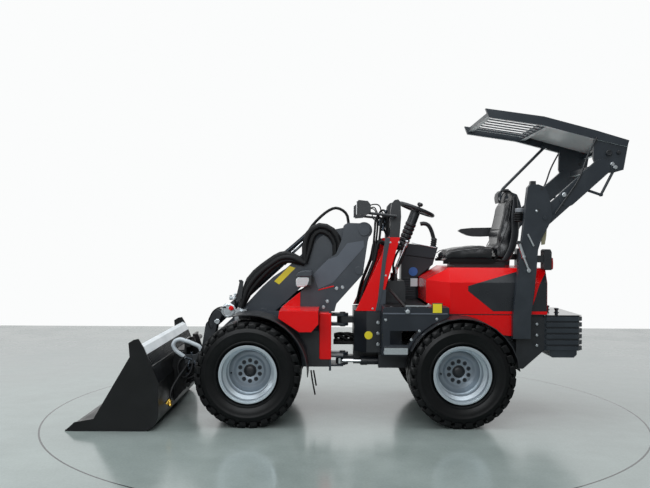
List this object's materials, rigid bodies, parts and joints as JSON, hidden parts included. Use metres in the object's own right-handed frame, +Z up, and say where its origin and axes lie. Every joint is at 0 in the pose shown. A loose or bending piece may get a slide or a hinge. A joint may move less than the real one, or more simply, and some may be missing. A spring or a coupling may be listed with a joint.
{
  "type": "articulated mini wheel loader",
  "caption": "Compact articulated wheel loader with a lifting boom, bucket, operator seat on the engine hood and a roll-over frame that folds back.",
  "frame": {"origin": "middle of the footprint on the floor, halfway between the bucket's lip and the roof's rear end", "axes": "+Z up, +X to the machine's rear, -Y its left side"},
  "size_m": [3.939, 1.48, 2.256],
  "materials": {
    "black": "satin",
    "chrome": "polished",
    "graphite": "semi-gloss",
    "hose": "matte",
    "lamp": "gloss",
    "plastic": "matte",
    "red": "gloss",
    "silver": "satin",
    "tyre": "matte",
    "vinyl": "satin",
    "zinc": "satin"
  },
  "bodies": {
    "rear_frame": {"rear_chassis": "black", "rear_axle": "black", "platform": "graphite", "steps": "zinc", "rear_fenders": "plastic", "hood": "red", "engine_block": "silver", "console": "plastic", "cowl": "red", "controls": "plastic", "mirrors": "plastic", "lamps": "lamp", "rear_hoses": "hose", "seat_frame": "plastic", "seat_cushions": "vinyl", "rops_posts": "black", "counterweight": "black", "steer_barrel": "black"},
    "front_frame": {"front_chassis": "graphite", "front_axle": "black", "tower": "graphite", "front_fenders": "plastic", "front_panels": "red", "headlamps": "lamp"},
    "boom": {"boom_arm": "graphite", "boom_couplers": "zinc", "boom_hoses": "hose"},
    "lift_cylinder": {"lift_barrel": "black"},
    "lift_piston": {"lift_rod": "chrome"},
    "tilt_piston": {"tilt_rod": "chrome"},
    "tilt_cylinder": {"tilt_barrel": "black"},
    "levelling_link": {"level_link": "black"},
    "bucket": {"bucket_shell": "black", "bucket_guard": "black", "quick_hitch": "black"},
    "steer_piston": {"steer_rod": "chrome"},
    "wheel_front_left": {"tyre_front_left": "tyre", "rim_front_left": "silver"},
    "wheel_front_right": {"tyre_front_right": "tyre", "rim_front_right": "silver"},
    "wheel_rear_left": {"tyre_rear_left": "tyre", "rim_rear_left": "silver"},
    "wheel_rear_right": {"tyre_rear_right": "tyre", "rim_rear_right": "silver"},
    "steering": {"steering_wheel": "plastic"},
    "rops": {"rops_frame": "black", "roof_panel": "black"}
  },
  "joints": [
    {"name": "articulation", "type": "hinge", "parent": "rear_frame", "child": "front_frame", "pos_m": [-0.0775, 0, 0.54], "axis": [0, 0, 1], "range_deg": [-40, 40]},
    {"name": "boom_lift", "type": "hinge", "parent": "front_frame", "child": "boom", "pos_m": [0.0775, 0, 1.379], "axis": [0, 1, 0], "range_deg": [0, 75]},
    {"name": "lift_barrel_swing", "type": "hinge", "parent": "front_frame", "child": "lift_cylinder", "pos_m": [0.0395, 0, 1.078], "axis": [0, 1, 0], "range_deg": [0, 76]},
    {"name": "lift_rod_slide", "type": "slide", "parent": "lift_cylinder", "child": "lift_piston", "axis": [-0.9099, 0, -0.4147], "range_m": [0, 0.3721]},
    {"name": "tilt_rod_swing", "type": "hinge", "parent": "boom", "child": "tilt_piston", "pos_m": [-0.2645, 0, 1.4], "axis": [0, 1, 0], "range_deg": [0, 7]},
    {"name": "tilt_barrel_slide", "type": "slide", "parent": "tilt_piston", "child": "tilt_cylinder", "axis": [-0.7355, 0, -0.6775], "range_m": [0, 0.4138]},
    {"name": "link_levelling", "type": "hinge", "parent": "boom", "child": "levelling_link", "pos_m": [-1.1445, 0, 0.3], "axis": [0, 1, 0], "range_deg": [-76, 0]},
    {"name": "bucket_tilt", "type": "hinge", "parent": "levelling_link", "child": "bucket", "pos_m": [-1.1445, 0, 0.3], "axis": [0, -1, 0], "range_deg": [-35, 50]},
    {"name": "steer_rod_slide", "type": "slide", "parent": "rear_frame", "child": "steer_piston", "axis": [1, 0, 0], "range_m": [-0.112, 0.112]},
    {"name": "wheel_front_left_roll", "type": "hinge", "parent": "front_frame", "child": "wheel_front_left", "pos_m": [-0.7445, -0.495, 0.368], "axis": [0, 1, 0], "continuous": true},
    {"name": "wheel_front_right_roll", "type": "hinge", "parent": "front_frame", "child": "wheel_front_right", "pos_m": [-0.7445, 0.495, 0.368], "axis": [0, 1, 0], "continuous": true},
    {"name": "wheel_rear_left_roll", "type": "hinge", "parent": "rear_frame", "child": "wheel_rear_left", "pos_m": [0.7455, -0.495, 0.368], "axis": [0, 1, 0], "continuous": true},
    {"name": "wheel_rear_right_roll", "type": "hinge", "parent": "rear_frame", "child": "wheel_rear_right", "pos_m": [0.7455, 0.495, 0.368], "axis": [0, 1, 0], "continuous": true},
    {"name": "steering_wheel_turn", "type": "hinge", "parent": "rear_frame", "child": "steering", "pos_m": [0.4915, 0, 1.545], "axis": [0.3584, 0, 0.9336], "continuous": true},
    {"name": "rops_fold", "type": "hinge", "parent": "rear_frame", "child": "rops", "pos_m": [1.3675, 0, 1.47], "axis": [0, 1, 0], "range_deg": [0, 90]}
  ],
  "couplings": [
    {"joint": "lift_barrel_swing", "follows": "boom_lift", "ratio": 1},
    {"joint": "lift_rod_slide", "follows": "boom_lift", "m_per_rad": 0.2812},
    {"joint": "tilt_rod_swing", "follows": "boom_lift", "ratio": 0.08},
    {"joint": "tilt_barrel_slide", "follows": "boom_lift", "m_per_rad": 0.31306},
    {"joint": "link_levelling", "follows": "boom_lift", "ratio": -1},
    {"joint": "steer_rod_slide", "follows": "articulation", "m_per_rad": 0.15}
  ]
}
